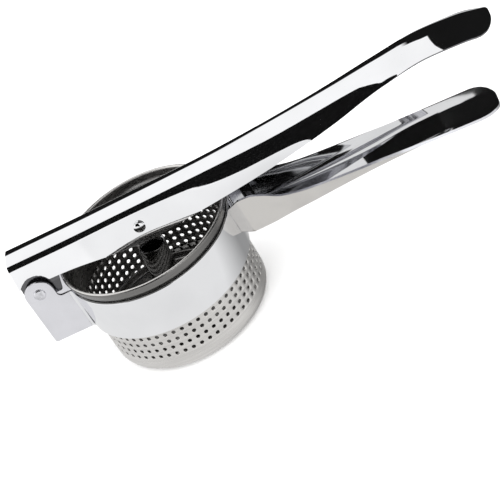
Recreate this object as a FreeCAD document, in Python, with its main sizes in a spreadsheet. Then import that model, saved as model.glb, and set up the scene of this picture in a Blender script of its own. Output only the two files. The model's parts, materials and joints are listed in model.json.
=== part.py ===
import FreeCAD, Part
import Sketcher
import math
import os
import re
from FreeCAD import Placement, Rotation, Vector

# A hand press for potatoes and fruit, all of sheet steel, in millimetres.
# A perforated basket hangs by its lip in a strap ring. The lower handle is welded to the ring.
# The upper handle turns on a rivet between the ring's two lugs, and carries the plunger on a pin.
# The origin is the centre of the basket's flat floor, +Z runs up the basket's axis and +X towards
# the tips of the handles. The near side is -Y.

DIMENSIONS = [
    # basket
    ("basket_radius", 43.3, "outside of the basket's wall"),
    ("basket_wall", 0.8, "thickness of the basket's sheet"),
    ("basket_height", 60.4, "floor to the top of the lip"),
    ("basket_corner", 6.0, "bend between floor and wall"),
    ("lip_flare", 2.7, "outside of the lip's bead from the outside of the wall"),
    ("bead_radius", 1.0, "half the thickness of the rolled bead"),
    ("flare_drop", 0.4, "ring's upper edge down to where the shoulder starts to flare"),
    ("flare_rise", 2.0, "ring's upper edge up to the shoulder's bend"),
    ("hole_radius", 1.05, "one perforation"),
    ("hole_rows", 6, "rows of perforations up the wall"),
    ("hole_columns", 59, "columns of perforations round the wall"),
    ("hole_turn", 1.5, "turn of the basket that sets where the columns stand, in degrees"),
    ("first_row", 12.0, "height of the lowest row"),
    ("row_pitch", 4.38, "row to row on the wall"),
    ("floor_pitch", 4.4, "ring to ring on the floor"),
    ("floor_margin", 5.0, "least distance from the floor's holes to its bend"),
    # strap ring
    ("ring_gap", 0.7, "play between the basket and the ring"),
    ("strap", 1.4, "thickness of the strap"),
    ("strap_width", 24.9, "width of the strap, the ring's height"),
    ("lip_rise", 7.0, "ring's upper edge to the top of the lip"),
    ("lug_gap", 26.2, "between the two lugs"),
    ("ear_radius", 7.6, "rounded top of a lug"),
    ("ear_root", 2.2, "inner corner between a lug's top and its ear"),
    ("lug_corner", 1.2, "rounded lower corner of a lug"),
    ("fold_radius", 2.5, "outer bend between ring and lug"),
    # hinge
    ("hinge_reach", 12.4, "ring's outside to the hinge rivet"),
    ("hinge_rise", 5.8, "ring's upper edge to the hinge rivet"),
    ("rivet_radius", 2.5, "shank of the hinge rivet"),
    ("rivet_head", 3.2, "radius of its heads"),
    ("rivet_crown", 0.9, "height of its heads"),
    ("running", 0.05, "play of what turns on a rivet or pin"),
    ("washer_radius", 5.6, "outside of the hinge washers"),
    ("spacer_wall", 1.5, "wall of the tubes on the rivet and the pin"),
    # upper handle
    ("upper_sheet", 1.2, "sheet of the upper handle"),
    ("upper_overhang", 7.2, "hinge rivet to the handle's hinge end"),
    ("upper_reach", 199.8, "basket's axis to the handle's tip"),
    ("upper_rise", 18.8, "hinge rivet to its flat top"),
    ("handle_play", 0.5, "play between its side walls and the lugs"),
    ("upper_tip_corner", 11.0, "rounded corners of its tip"),
    ("arch_radius", 9.3, "cut-out of its side walls over the lugs"),
    ("cheek_play", 1.5, "play between its inner cheeks and the lugs, which the washers fill"),
    ("cheek_radius", 8.4, "rounding of the cheeks about the rivet"),
    ("cheek_lap", 2.0, "height of the cheeks over the arches"),
    ("cheek_inset", 0.4, "play between the cheeks and the outside of the handle's end and walls"),
    ("cheek_foot", 0.9, "play between the cheeks and the ring's upper edge"),
    ("tooth_front", 1.4, "front edge of the cheeks from the outside of the basket's lip"),
    ("tooth_lean", 2.6, "slant of that edge"),
    ("tooth_knee", 4.4, "height over the rivet where the slant starts"),
    # lower handle
    ("lower_sheet", 1.4, "sheet of the lower handle"),
    ("neck_length", 6.0, "ring's outside to the handle's first full section"),
    ("lower_reach", 186.0, "basket's axis to the handle's tip"),
    ("lower_drop", 16.8, "ring's upper edge down to its underside"),
    ("lower_half", 13.4, "half the width over its side walls"),
    ("mouth_height", 22.0, "height of its side walls at the mouth"),
    ("neck_pinch", 4.2, "narrowing on each side where the neck meets the ring"),
    ("neck_lap", 0.6, "overlap of the neck and the first full section"),
    ("lower_tip_corner", 11.5, "rounded corners of its tip"),
    # plunger
    ("pin_forward", 3.0, "basket's axis to the plunger's pin"),
    ("pin_drop", 9.9, "upper handle's flat top down to the plunger's pin"),
    ("pin_radius", 2.5, "shank of the plunger's pin"),
    ("pin_head", 3.1, "radius of its domed heads"),
    ("pin_dome", 2.0, "height of its domed heads"),
    ("lean", 7.0, "lean of the plunger, its top forward, in degrees"),
    ("post_radius", 7.2, "outside of the plunger's post"),
    ("post_wall", 1.0, "wall of the post"),
    ("post_drop", 19.4, "pin to the post's open top"),
    ("disc_lift", 8.1, "pin's height less the length of the plunger below it"),
    ("disc_gap", 6.5, "play between the disc and the inside of the basket"),
    ("disc_sheet", 1.2, "sheet of the disc"),
    ("disc_rim", 5.0, "height of the disc's turned-up rim"),
    ("tongue_sheet", 3.0, "thickness of the tongue between post and pin"),
    ("tongue_sink", 10.0, "length of the tongue inside the post"),
    ("bead_leg", 1.5, "leg of the weld round the foot of the post"),
]

# Sizes worked out from the dimensions. In an expression, own.NAME stands for one of them.
WORKED_OUT = {
    "lip_radius": "dims.basket_radius + dims.lip_flare",
    "ring_inside": "dims.basket_radius + dims.ring_gap",
    "ring_outside": "own.ring_inside + dims.strap",
    "ring_top": "dims.basket_height - dims.lip_rise",
    "ring_bottom": "own.ring_top - dims.strap_width",
    "lug_outside": "dims.lug_gap / 2 + dims.strap",
    "hinge_back": "own.ring_outside + dims.hinge_reach",
    "hinge_height": "own.ring_top + dims.hinge_rise",
    "lug_end": "own.hinge_back + dims.ear_radius",
    "upper_back": "own.hinge_back + dims.upper_overhang",
    "upper_level": "own.hinge_height + dims.upper_rise",
    "upper_half": "dims.lug_gap / 2 - dims.handle_play",
    "cheek_outside": "dims.lug_gap / 2 - dims.cheek_play",
    "mouth": "own.ring_outside + dims.neck_length",
    "lower_level": "own.ring_top - dims.lower_drop",
    "neck_half": "dims.lower_half - dims.neck_pinch",
    "pin_height": "own.upper_level - dims.pin_drop",
    "plunger_drop": "own.pin_height - dims.disc_lift",
    "disc_radius": "dims.basket_radius - dims.basket_wall - dims.disc_gap",
}

# Stations along a handle: part of its length from its first section, half the width of its web and
# of its edges as a part of its half width, rise of the web and of the edges, and the bend between
# them.
UPPER_STATIONS = [
    (0.00, 0.635, 0.0, 0.96, -13.6, 4.0),
    (0.10, 0.635, 0.0, 0.98, -14.4, 4.0),
    (0.25, 0.635, 0.5, 1.00, -18.2, 4.0),
    (0.385, 0.635, 1.4, 1.00, -15.2, 4.0),
    (0.53, 0.640, 4.0, 1.00, -10.4, 4.6),
    (0.665, 0.650, 7.2, 1.00, -3.2, 6.0),
    (0.775, 0.640, 10.4, 1.01, 4.6, 9.0),
    (0.87, 0.560, 12.6, 1.03, 8.8, 12.0),
    (0.94, 0.520, 11.4, 1.03, 8.0, 12.0),
    (1.00, 0.480, 8.2, 1.00, 4.8, 12.0),
]
LOWER_STATIONS = [
    (0.00, 0.94, 0.0, 1.00, 1.00, 2.2),
    (0.04, 0.94, 0.0, 1.00, 0.99, 2.2),
    (0.09, 0.93, 0.1, 1.00, 0.87, 2.4),
    (0.155, 0.92, 0.3, 1.01, 0.64, 2.6),
    (0.245, 0.90, 0.4, 1.01, 0.52, 3.0),
    (0.37, 0.85, 1.0, 1.03, 0.44, 4.0),
    (0.52, 0.80, 2.0, 1.04, 0.375, 5.0),
    (0.68, 0.72, 3.2, 1.04, 0.29, 6.5),
    (0.82, 0.62, 3.5, 1.04, 0.235, 8.0),
    (0.92, 0.55, 3.1, 1.04, 0.21, 9.0),
    (1.00, 0.50, 2.5, 1.02, 0.19, 9.0),
]

doc = FreeCAD.newDocument("press")
sheet = doc.addObject("Spreadsheet::Sheet", "dims")
for row, (alias, size, meaning) in enumerate(DIMENSIONS, start=1):
    sheet.set("A%d" % row, meaning)
    sheet.set("B%d" % row, str(size))
    sheet.setAlias("B%d" % row, alias)
doc.recompute()


def spell(expression):
    """An expression on the sheet's cells alone, with each worked-out size written in full."""
    while "own." in expression:
        expression = re.sub(r"own\.(\w+)", lambda found: "(%s)" % WORKED_OUT[found.group(1)], expression)
    return expression


def number(expression):
    """The value of an expression."""
    return float(sheet.evalExpression(spell(expression)))


def size(name):
    """One size by its name, from the sheet or worked out from it."""
    if name in WORKED_OUT:
        return number("own." + name)
    return float(sheet.get(name))


# ---------------------------------------------------------------- sketches and features

def new_body(label):
    body = doc.addObject("PartDesign::Body", label)
    body.Label = label
    return body


def base_plane(body, role):
    for feature in body.Origin.OriginFeatures:
        if feature.Role == role:
            return feature
    raise ValueError("the body has no " + role)


def new_sketch(body, name, role, offset=None):
    """A sketch on one of the body's own planes, moved along the plane's normal by an expression."""
    sketch = body.newObject("Sketcher::SketchObject", name)
    sketch.AttachmentSupport = (base_plane(body, role), [""])
    sketch.MapMode = "FlatFace"
    if offset:
        sketch.setExpression("AttachmentOffset.Base.z", spell(offset))
    return sketch


def bind(sketch, kind, references, expression):
    """A dimension of a sketch that follows the sheet."""
    index = sketch.addConstraint(Sketcher.Constraint(kind, *references, number(expression)))
    sketch.setExpression("Constraints[%d]" % index, spell(expression))


def place_point(sketch, element, point, across, up):
    """Holds a point of the sketch at two expressions, None standing for an axis."""
    if across is None:
        sketch.addConstraint(Sketcher.Constraint("PointOnObject", element, point, -2))
    else:
        bind(sketch, "DistanceX", (-1, 1, element, point), across)
    if up is None:
        sketch.addConstraint(Sketcher.Constraint("PointOnObject", element, point, -1))
    else:
        bind(sketch, "DistanceY", (-1, 1, element, point), up)


def add_circle(sketch, radius, across=None, up=None):
    centre = Vector(number(across or "0"), number(up or "0"), 0)
    circle = sketch.addGeometry(Part.Circle(centre, Vector(0, 0, 1), number(radius)))
    bind(sketch, "Radius", (circle,), radius)
    place_point(sketch, circle, 3, across, up)


def add_outline(sketch, corners):
    """A closed outline of straight edges through corners given as pairs of expressions."""
    points = [Vector(number(across or "0"), number(up or "0"), 0) for across, up in corners]
    count = len(points)
    first = sketch.GeometryCount
    for index in range(count):
        sketch.addGeometry(Part.LineSegment(points[index], points[(index + 1) % count]))
    for index in range(count):
        following = first + (index + 1) % count
        sketch.addConstraint(Sketcher.Constraint("Coincident", first + index, 2, following, 1))
    for index, (across, up) in enumerate(corners):
        place_point(sketch, first + index, 1, across, up)


def add_rectangle(sketch, left, right, low, high):
    add_outline(sketch, [(left, low), (right, low), (right, high), (left, high)])


def pad(body, sketch, length, symmetric=False):
    feature = body.newObject("PartDesign::Pad", sketch.Name + "_pad")
    feature.Profile = sketch
    if symmetric:
        feature.SideType = "Symmetric"
    feature.setExpression("Length", spell(length))
    return feature


def pocket(body, sketch, length, symmetric=False):
    feature = body.newObject("PartDesign::Pocket", sketch.Name + "_pocket")
    feature.Profile = sketch
    if symmetric:
        feature.SideType = "Symmetric"
    feature.setExpression("Length", spell(length))
    return feature


def revolve(body, sketch):
    """A full turn about the sketch's vertical axis."""
    feature = body.newObject("PartDesign::Revolution", sketch.Name + "_turn")
    feature.Profile = sketch
    feature.ReferenceAxis = (sketch, ["V_Axis"])
    feature.Angle = 360
    return feature


def straight_edges(feature, direction, beside):
    """Names of the straight edges along a direction that run through a point, or its twin across Y."""
    doc.recompute()
    near = 0.05
    names = []
    for index, edge in enumerate(feature.Shape.Edges, start=1):
        ends = [vertex.Point for vertex in edge.Vertexes]
        if len(ends) != 2 or (ends[0] - ends[1]).cross(direction).Length > near:
            continue
        for point in (beside, Vector(beside.x, -beside.y, beside.z)):
            if (point - ends[0]).cross(direction).Length < near:
                names.append("Edge%d" % index)
                break
    return names


def fillet(body, feature, edges, radius):
    rounding = body.newObject("PartDesign::Fillet", feature.Name + "_round")
    rounding.Base = (feature, edges)
    rounding.setExpression("Radius", spell(radius))
    return rounding


def tube(label, inner, outer, length, place):
    """A ring or tube along Y, from its near face at -Y, that slips over a rivet or a pin."""
    body = new_body(label)
    sketch = new_sketch(body, label + "_section", "XZ_Plane")
    add_circle(sketch, inner)
    add_circle(sketch, outer)
    pad(body, sketch, length, symmetric=True)
    body.Placement = Placement(place, Rotation())
    return body


def hinge_centre(across=0.0):
    return Vector(-size("hinge_back"), across, size("hinge_height"))


def pin_centre(across=0.0):
    return Vector(size("pin_forward"), across, size("pin_height"))


def plunger_place():
    """Where the plunger's own frame is: its origin on the pin, its top leaning forward."""
    return Placement(pin_centre(), Rotation(Vector(0, 1, 0), size("lean")))


# ---------------------------------------------------------------- basket and ring

def make_basket_blank():
    """A deep-drawn cup with a flared shoulder and a rolled lip, before its holes are punched."""
    body = new_body("basket_blank")
    profile = new_sketch(body, "basket_profile", "XZ_Plane")
    shoulder = "own.ring_top - dims.flare_drop"
    flare = "own.ring_top + dims.flare_rise"
    outer_flare = "dims.basket_radius + 0.6 * (own.lip_radius - dims.basket_radius)"
    bead_centre = "own.lip_radius - dims.bead_radius"
    bead_height = "dims.basket_height - dims.bead_radius"
    add_outline(profile, [
        (None, None),
        ("dims.basket_radius", None),
        ("dims.basket_radius", shoulder),
        (outer_flare, flare),
        (bead_centre + " + dims.basket_wall / 2", bead_height),
        (bead_centre + " - dims.basket_wall / 2", bead_height),
        (outer_flare + " - dims.basket_wall", flare + " + 0.3"),
        ("dims.basket_radius - dims.basket_wall", shoulder + " + 0.5"),
        ("dims.basket_radius - dims.basket_wall", "dims.basket_wall"),
        (None, "dims.basket_wall"),
    ])
    cup = revolve(body, profile)
    inside = number("dims.basket_radius - dims.basket_wall")
    corner = fillet_circle(body, cup, size("basket_radius"), 0.0, "dims.basket_corner")
    fillet_circle(body, corner, inside, size("basket_wall"), "dims.basket_corner - dims.basket_wall")
    bead = new_sketch(body, "lip_bead", "XZ_Plane")
    add_circle(bead, "dims.bead_radius", bead_centre, bead_height)
    revolve(body, bead)
    doc.recompute()
    return body


def make_basket():
    """The cup with its perforations: rows and columns round the wall, and rings in the floor."""
    cup = make_basket_blank().Shape
    hole = size("hole_radius")
    depth = 4 * size("basket_wall")
    middle = number("dims.basket_radius - dims.basket_wall / 2")
    punches = []
    columns = int(size("hole_columns"))
    for column in range(columns):
        angle = math.radians(size("hole_turn") - 90) + 2 * math.pi * column / columns
        outward = Vector(math.cos(angle), math.sin(angle), 0)
        for row in range(int(size("hole_rows"))):
            height = size("first_row") + row * size("row_pitch")
            start = outward * (middle - depth / 2) + Vector(0, 0, height)
            punches.append(Part.makeCylinder(hole, depth, start, outward))
    rings = int(number("(dims.basket_radius - dims.basket_corner - dims.floor_margin) / dims.floor_pitch"))
    for ring in range(1, rings + 1):
        radius = ring * size("floor_pitch")
        for index in range(6 * ring):
            angle = 2 * math.pi * index / (6 * ring)
            start = Vector(radius * math.cos(angle), radius * math.sin(angle), -depth / 2)
            punches.append(Part.makeCylinder(hole, depth, start, Vector(0, 0, 1)))
    add_solid("perforated_basket", cup.cut(punches))


def fillet_circle(body, feature, radius, height, bend):
    """Rounds the circular edge of a turned piece at a radius and a height."""
    doc.recompute()
    names = []
    for index, edge in enumerate(feature.Shape.Edges, start=1):
        if hasattr(edge.Curve, "Radius") and abs(edge.Curve.Radius - radius) < 0.01 \
                and abs(edge.Curve.Center.z - height) < 0.01:
            names.append("Edge%d" % index)
    return fillet(body, feature, names, bend)


def make_ring():
    """The strap bent round the basket, with its two ends side by side as the hinge's lugs."""
    body = new_body("ring_strap")
    over_lugs = "2 * own.lug_outside"
    band = new_sketch(body, "band", "XY_Plane", "own.ring_bottom")
    add_circle(band, "own.ring_inside")
    add_circle(band, "own.ring_outside")
    pad(body, band, "own.ring_top - own.ring_bottom")

    # The lugs are one block at first, and the gap between them is cut out of it.
    blocks = new_sketch(body, "lug_block", "XZ_Plane")
    root = "-sqrt(own.ring_inside^2 - own.lug_outside^2)"
    add_rectangle(blocks, "-own.lug_end", root, "own.ring_bottom", "own.ring_top")
    pad(body, blocks, over_lugs, symmetric=True)
    neck = new_sketch(body, "ear_block", "XZ_Plane")
    add_rectangle(neck, "-own.hinge_back - dims.ear_radius", "-own.hinge_back + dims.ear_radius",
                  "own.ring_bottom", "own.hinge_height")
    pad(body, neck, over_lugs, symmetric=True)
    ear = new_sketch(body, "ear_round", "XZ_Plane")
    add_circle(ear, "dims.ear_radius", "-own.hinge_back", "own.hinge_height")
    pad(body, ear, over_lugs, symmetric=True)

    gap = new_sketch(body, "lug_gap", "XY_Plane")
    add_rectangle(gap, "-2 * own.lug_end", None, "-dims.lug_gap / 2", "dims.lug_gap / 2")
    pocket(body, gap, "4 * own.ring_top", symmetric=True)
    clear = new_sketch(body, "basket_room", "XY_Plane")
    add_circle(clear, "own.ring_inside")
    pocket(body, clear, "4 * own.ring_top", symmetric=True)
    bore = new_sketch(body, "rivet_bore", "XZ_Plane")
    add_circle(bore, "dims.rivet_radius", "-own.hinge_back", "own.hinge_height")
    cut = pocket(body, bore, "4 * dims.lug_gap", symmetric=True)

    half = size("lug_outside")
    fold = Vector(-math.sqrt(size("ring_outside") ** 2 - half ** 2), half, 0)
    folded = fillet(body, cut, straight_edges(cut, Vector(0, 0, 1), fold), "dims.fold_radius")
    root = Vector(number("-own.hinge_back + dims.ear_radius"), 0, size("ring_top"))
    eared = fillet(body, folded, straight_edges(folded, Vector(0, 1, 0), root), "dims.ear_root")
    corner = Vector(-size("lug_end"), 0, size("ring_bottom"))
    fillet(body, eared, straight_edges(eared, Vector(0, 1, 0), corner), "dims.lug_corner")


# ---------------------------------------------------------------- the two handles

def bend_arc(before, corner, after, radius):
    """The arc that rounds a corner: its start, a point on it and its end."""
    back = (before - corner).normalize()
    forth = (after - corner).normalize()
    half_angle = back.getAngle(forth) / 2
    reach = radius / math.tan(half_angle)
    middle = (back + forth).normalize()
    centre = corner + middle * (radius / math.sin(half_angle))
    return corner + back * reach, centre - middle * radius, corner + forth * reach


def channel_section(along, web_half, web_height, edge_half, edge_height, bend, thickness):
    """A closed section of bent sheet across X: a web with a side wall at each of its ends."""
    def at(across, height):
        return Vector(along, across, height)

    inward = 1 if edge_height > web_height else -1
    wall = Vector(0, edge_half - web_half, edge_height - web_height)
    normal = Vector(0, wall.z, -wall.y).normalize() * thickness
    if normal.y > 0:
        normal = normal * -1
    inner_height = web_height + inward * thickness
    start = Vector(along, web_half, web_height) + normal
    slide = (inner_height - start.z) / wall.z
    inner_half = start.y + slide * wall.y
    edge = at(edge_half, edge_height)
    inner_edge = edge + normal

    def side(outer_half, height, tip, radius):
        """Edge points of one skin from its left tip over both bends to its right tip."""
        left_tip = at(-tip.y, tip.z)
        left = at(-outer_half, height)
        right = at(outer_half, height)
        first = bend_arc(left_tip, left, right, radius)
        second = bend_arc(left, right, tip, radius)
        return [
            Part.LineSegment(left_tip, first[0]).toShape(),
            Part.Arc(*first).toShape(),
            Part.LineSegment(first[2], second[0]).toShape(),
            Part.Arc(*second).toShape(),
            Part.LineSegment(second[2], tip).toShape(),
        ]

    outer = side(web_half, web_height, edge, bend)
    inner = side(inner_half, inner_height, inner_edge, max(bend - thickness, 0.4))
    caps = [
        Part.LineSegment(edge, inner_edge).toShape(),
        Part.LineSegment(at(-inner_edge.y, inner_edge.z), at(-edge.y, edge.z)).toShape(),
    ]
    return Part.Wire(Part.__sortEdges__(outer + inner + caps))


def tip_outline(back, tip, half, corner, low, high):
    """A tall block with the handle's plan outline, its tip's two corners rounded."""
    block = Part.makeBox(tip - back, 2 * half, high - low, Vector(back, -half, low))
    edges = []
    for edge in block.Edges:
        middle = edge.CenterOfMass
        if abs(middle.x - tip) < 0.01 and abs(abs(middle.y) - half) < 0.01:
            edges.append(edge)
    return block.makeFillet(min(corner, half - 0.1), edges)


def cross_cylinder(radius, centre, half_length):
    return Part.makeCylinder(radius, 2 * half_length, centre - Vector(0, half_length, 0), Vector(0, 1, 0))


def plate(outline, low, thickness):
    """A plate in the XZ plane from its outline's points, between low and low + thickness in Y."""
    points = [Vector(x, low, z) for x, z in outline]
    face = Part.Face(Part.makePolygon(points + points[:1]))
    return face.extrude(Vector(0, thickness, 0))


def walls_inside(back, tip, inset, floor):
    """The room inside the upper handle's outer faces, less an inset, and straight down to a floor."""
    half = size("upper_half")
    level = size("upper_level")
    outlines = []
    for part, web, web_rise, edge, edge_rise, bend in UPPER_STATIONS:
        along = back + part * (tip - back)
        right = [(edge * half - inset, floor), (edge * half - inset, level + edge_rise),
                 (web * half - inset, level + web_rise)]
        left = [(-across, height) for across, height in reversed(right)]
        points = [Vector(along, across, height) for across, height in right + left]
        outlines.append(Part.makePolygon(points + points[:1]))
    return Part.makeLoft(outlines, True, True)


def make_upper_handle():
    """An inverted channel from the hinge to a shallow rounded grip, with cheeks on the rivet."""
    back = -size("upper_back")
    tip = size("upper_reach")
    half = size("upper_half")
    level = size("upper_level")
    thickness = size("upper_sheet")
    sections = []
    for part, web, web_rise, edge, edge_rise, bend in UPPER_STATIONS:
        sections.append(channel_section(back + part * (tip - back), web * half, level + web_rise,
                                        edge * half, level + edge_rise, bend, thickness))
    shell = Part.makeLoft(sections, True, False)
    shell = shell.common(tip_outline(back - 1, tip, 1.1 * half, size("upper_tip_corner"), 0, 2 * level))
    hinge = hinge_centre()
    shell = shell.cut(cross_cylinder(size("arch_radius"), hinge, 2 * half))

    outside = size("cheek_outside")
    round_part = size("cheek_radius")
    inset = size("cheek_inset")
    foot = size("ring_top") + size("cheek_foot")
    knee = hinge.z + size("tooth_knee")
    top = hinge.z + size("arch_radius") + size("cheek_lap")
    tooth_back = hinge.x + round_part
    tooth_front = -size("lip_radius") + size("tooth_front")
    inside = walls_inside(back, tip, inset, 0)
    for side in (-1, 1):
        low = outside - thickness if side > 0 else -outside
        cheek = plate([(back + inset, hinge.z), (back + inset, top), (tooth_front, top), (tooth_front, knee),
                       (tooth_front - size("tooth_lean"), foot), (tooth_back, foot), (tooth_back, hinge.z)],
                      low, thickness)
        hub = Part.makeCylinder(round_part, thickness, Vector(hinge.x, low, hinge.z), Vector(0, 1, 0))
        shell = shell.fuse(cheek.common(inside).fuse(hub))
    shell = shell.cut(cross_cylinder(number("dims.rivet_radius + dims.running"), hinge, 2 * half))
    shell = shell.cut(cross_cylinder(size("pin_radius"), pin_centre(), 2 * half))
    for side in (-1, 1):
        seat = pin_centre(side * upper_wall(size("pin_height")))
        coined = Part.makeCylinder(number("dims.pin_head + dims.running"), half, seat, Vector(0, side, 0))
        shell = shell.cut(coined)
    add_solid("upper_handle", shell)


def make_lower_handle():
    """A channel that opens upwards, from a neck on the ring to a shallow rounded grip."""
    mouth = size("mouth")
    tip = size("lower_reach")
    half = size("lower_half")
    level = size("lower_level")
    thickness = size("lower_sheet")
    wall = size("mouth_height")
    sections = []
    for part, web, web_rise, edge, edge_rise, bend in LOWER_STATIONS:
        sections.append(channel_section(mouth + part * (tip - mouth), web * half, level + web_rise,
                                        edge * half, level + edge_rise * wall, bend, thickness))
    shell = Part.makeLoft(sections, True, False)
    shell = shell.common(tip_outline(mouth - 1, tip, 1.2 * half, size("lower_tip_corner"), 0, 2 * level))

    # The neck narrows from the mouth to the ring, whose outside it meets.
    ring = size("ring_outside")
    narrow = size("neck_half")
    high = level + wall
    start = ring - 4 * thickness
    end = mouth + size("neck_lap")
    neck = size("neck_half") - (half - narrow) * (math.sqrt(ring ** 2 - narrow ** 2) - start) / (mouth - ring)
    for side in (-1, 1):
        outline = [Vector(start, side * neck, level), Vector(end, side * half, level),
                   Vector(end, side * (half - thickness), level),
                   Vector(start, side * (neck - thickness), level)]
        face = Part.Face(Part.makePolygon(outline + outline[:1]))
        shell = shell.fuse(face.extrude(Vector(0, 0, wall)))
    outline = [Vector(start, -neck, level), Vector(end, -half, level), Vector(end, half, level),
               Vector(start, neck, level)]
    face = Part.Face(Part.makePolygon(outline + outline[:1]))
    shell = shell.fuse(face.extrude(Vector(0, 0, thickness)))
    # The neck's top edge climbs from the ring's upper edge to the mouth's.
    begin = start - thickness
    slope = [(begin, size("ring_top")), (ring - thickness, size("ring_top")), (end, high), (end, 2 * high),
             (begin, 2 * high)]
    shell = shell.cut(plate(slope, -2 * half, 4 * half))
    shell = shell.cut(Part.makeCylinder(ring, 4 * high, Vector(0, 0, -high)))
    add_solid("lower_handle", shell)


def add_solid(label, shape):
    """A sub-part whose sheet-metal shape is lofted in code from the sheet's sizes."""
    solids = shape.removeSplitter().Solids
    if len(solids) != 1:
        raise ValueError("%s is in pieces: %s" % (label, [round(solid.Volume, 3) for solid in solids]))
    feature = doc.addObject("Part::Feature", label)
    feature.Label = label
    feature.Shape = solids[0]
    feature.Placement = Placement()


# ---------------------------------------------------------------- rivet, pin and what is on them

def make_hinge_rivet():
    """The rivet through both lugs, with a low formed head on each side."""
    body = new_body("hinge_rivet")
    reach = "own.lug_outside"
    profile = new_sketch(body, "rivet_profile", "XZ_Plane")
    crown = "dims.rivet_crown"
    add_outline(profile, [
        (None, "-(%s) - %s" % (reach, crown)),
        ("0.7 * dims.rivet_head", "-(%s) - %s" % (reach, crown)),
        ("dims.rivet_head", "-(%s)" % reach),
        ("dims.rivet_radius", "-(%s)" % reach),
        ("dims.rivet_radius", reach),
        ("dims.rivet_head", reach),
        ("0.7 * dims.rivet_head", "%s + %s" % (reach, crown)),
        (None, "%s + %s" % (reach, crown)),
    ])
    revolve(body, profile)
    body.Placement = Placement(hinge_centre(), Rotation(Vector(1, 0, 0), 90))


def make_hinge_washers():
    """A washer on the rivet on each side, between the handle's cheek and the lug."""
    thickness = "dims.lug_gap / 2 - own.cheek_outside - dims.running"
    middle = number("dims.lug_gap / 2 - (%s) / 2" % thickness)
    for label, side in (("near_hinge_washer", -1), ("far_hinge_washer", 1)):
        tube(label, "dims.rivet_radius", "dims.washer_radius", thickness, hinge_centre(side * middle))


def make_hinge_spacer():
    """The tube on the rivet that holds the handle's two cheeks apart."""
    tube("hinge_spacer", "dims.rivet_radius", "dims.rivet_radius + dims.spacer_wall",
         "2 * (own.cheek_outside - dims.upper_sheet - dims.running)", hinge_centre())


def upper_wall(height):
    """Half the width over the upper handle's side walls at a height, by the plunger's pin."""
    part, web, web_rise, edge, edge_rise, bend = UPPER_STATIONS[2]
    drop = (size("upper_level") + web_rise - height) / (web_rise - edge_rise)
    return size("upper_half") * (web + drop * (edge - web))


def make_plunger_pin():
    """The pin across the upper handle, with a domed head on each side."""
    body = new_body("plunger_pin")
    seat = "%.3f" % upper_wall(size("pin_height"))
    profile = new_sketch(body, "pin_profile", "XZ_Plane")
    add_outline(profile, [
        (None, "-%s" % seat),
        ("dims.pin_radius", "-%s" % seat),
        ("dims.pin_radius", seat),
        (None, seat),
    ])
    revolve(body, profile)
    for name, sign in (("near_dome", ""), ("far_dome", "-")):
        dome = new_sketch(body, name, "XZ_Plane")
        add_outline(dome, [
            (None, "%s%s" % (sign, seat)),
            ("dims.pin_head", "%s%s" % (sign, seat)),
            ("dims.pin_head", "%s(%s + 0.35 * dims.pin_dome)" % (sign, seat)),
            ("0.75 * dims.pin_head", "%s(%s + 0.75 * dims.pin_dome)" % (sign, seat)),
            ("0.4 * dims.pin_head", "%s(%s + dims.pin_dome)" % (sign, seat)),
            (None, "%s(%s + dims.pin_dome)" % (sign, seat)),
        ])
        revolve(body, dome)
    body.Placement = Placement(pin_centre(), Rotation(Vector(1, 0, 0), 90))


def make_pin_spacers():
    """The tubes on the pin that keep the tongue in the middle of the handle."""
    outer = "dims.pin_radius + dims.spacer_wall"
    level = size("pin_height")
    slope = (upper_wall(level - 1) - upper_wall(level))
    sheet_across = size("upper_sheet") * math.hypot(1, slope)
    end = upper_wall(level + number(outer)) - sheet_across - size("running")
    start = number("dims.tongue_sheet / 2 + dims.running")
    for label, side in (("near_pin_spacer", -1), ("far_pin_spacer", 1)):
        tube(label, "dims.pin_radius", outer, "%.3f" % (end - start), pin_centre(side * (end + start) / 2))


# ---------------------------------------------------------------- plunger

def make_post():
    """The open-topped tube of the plunger."""
    body = new_body("plunger_post")
    section = new_sketch(body, "post_section", "XY_Plane", "-own.plunger_drop + dims.disc_sheet")
    add_circle(section, "dims.post_radius")
    add_circle(section, "dims.post_radius - dims.post_wall")
    pad(body, section, "own.plunger_drop - dims.disc_sheet - dims.post_drop")
    body.Placement = plunger_place()


def make_tongue():
    """The flat bar that runs from inside the post, whose bore it fills, up to its eye on the pin."""
    body = new_body("plunger_tongue")
    half = "sqrt((dims.post_radius - dims.post_wall)^2 - (dims.tongue_sheet / 2)^2)"
    bar = new_sketch(body, "tongue_bar", "XZ_Plane")
    add_rectangle(bar, "-" + half, half, "-dims.post_drop - dims.tongue_sink", None)
    pad(body, bar, "dims.tongue_sheet", symmetric=True)
    eye = new_sketch(body, "tongue_eye", "XZ_Plane")
    add_circle(eye, half)
    pad(body, eye, "dims.tongue_sheet", symmetric=True)
    bore = new_sketch(body, "tongue_bore", "XZ_Plane")
    add_circle(bore, "dims.pin_radius + dims.running")
    pocket(body, bore, "4 * dims.tongue_sheet", symmetric=True)
    body.Placement = plunger_place()


def make_disc():
    """The pressing disc, a shallow dish with a turned-up rim."""
    body = new_body("plunger_disc")
    profile = new_sketch(body, "disc_profile", "XZ_Plane")
    floor = "-own.plunger_drop"
    add_outline(profile, [
        (None, floor),
        ("own.disc_radius", floor),
        ("own.disc_radius", floor + " + dims.disc_rim"),
        ("own.disc_radius - dims.disc_sheet", floor + " + dims.disc_rim"),
        ("own.disc_radius - dims.disc_sheet", floor + " + dims.disc_sheet"),
        (None, floor + " + dims.disc_sheet"),
    ])
    dish = revolve(body, profile)
    bottom = -size("plunger_drop")
    rounded = fillet_circle(body, dish, size("disc_radius"), bottom, "2 * dims.disc_sheet")
    fillet_circle(body, rounded, number("own.disc_radius - dims.disc_sheet"),
                  bottom + size("disc_sheet"), "dims.disc_sheet")
    body.Placement = plunger_place()


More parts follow.
